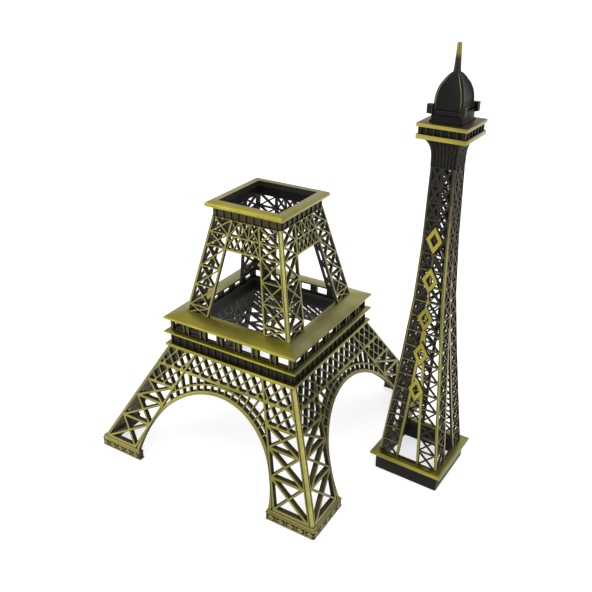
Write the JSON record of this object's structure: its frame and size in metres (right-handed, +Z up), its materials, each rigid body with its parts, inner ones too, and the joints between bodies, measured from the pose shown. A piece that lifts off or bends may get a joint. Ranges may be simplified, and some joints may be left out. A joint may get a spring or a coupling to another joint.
{
  "type": "two-section lattice tower model",
  "caption": "Miniature lattice tower in antique brass: arched base with socket collar and a separate spire that plugs in.",
  "frame": {"origin": "on the surface the tower stands on, at the centre of the lower section's four feet", "axes": "+Z up, -Y towards the front of the lower section, +X to the right, where the upper section stands"},
  "size_m": [0.2441, 0.19, 0.299],
  "materials": {
    "antique_brass": "die-cast metal plated in antique brass, satin, dark in the recesses",
    "dark_patina": "the same plating left nearly black"
  },
  "bodies": {
    "lower_section": {"foot_front_left": "dark_patina", "foot_front_right": "dark_patina", "foot_back_right": "dark_patina", "foot_back_left": "dark_patina", "leg_front_left": "antique_brass", "leg_front_right": "antique_brass", "leg_back_right": "antique_brass", "leg_back_left": "antique_brass", "arch_front": "antique_brass", "arch_right": "antique_brass", "arch_back": "antique_brass", "arch_left": "antique_brass", "belt_front": "antique_brass", "belt_right": "antique_brass", "belt_back": "antique_brass", "belt_left": "antique_brass", "belt_ledge": "antique_brass", "platform_frieze": "dark_patina", "platform_ledge": "antique_brass", "gallery": "dark_patina", "cornice": "antique_brass", "column_front_left": "antique_brass", "column_front_right": "antique_brass", "column_back_right": "antique_brass", "column_back_left": "antique_brass", "girder_front": "antique_brass", "girder_right": "antique_brass", "girder_back": "antique_brass", "girder_left": "antique_brass", "collar_frieze": "dark_patina", "collar": "antique_brass"},
    "upper_section": {"plug_skirt": "dark_patina", "base_ledge": "antique_brass", "shaft_front": "antique_brass", "shaft_right": "antique_brass", "shaft_back": "antique_brass", "shaft_left": "antique_brass", "post_front_left": "antique_brass", "post_front_right": "antique_brass", "post_back_right": "antique_brass", "post_back_left": "antique_brass", "neck": "dark_patina", "deck": "antique_brass", "parapet": "dark_patina", "deck_rail": "antique_brass", "drum": "dark_patina", "dome_lugs": "dark_patina", "dome": "dark_patina", "antenna": "antique_brass", "plate_1": "antique_brass", "plate_2": "antique_brass", "plate_3": "antique_brass", "plate_4": "antique_brass", "plate_5": "antique_brass"}
  },
  "joints": [
    {"name": "upper_lift", "type": "slide", "parent": "lower_section", "child": "upper_section", "axis": [0, 0, 1], "range_m": [0, 0.2]}
  ]
}
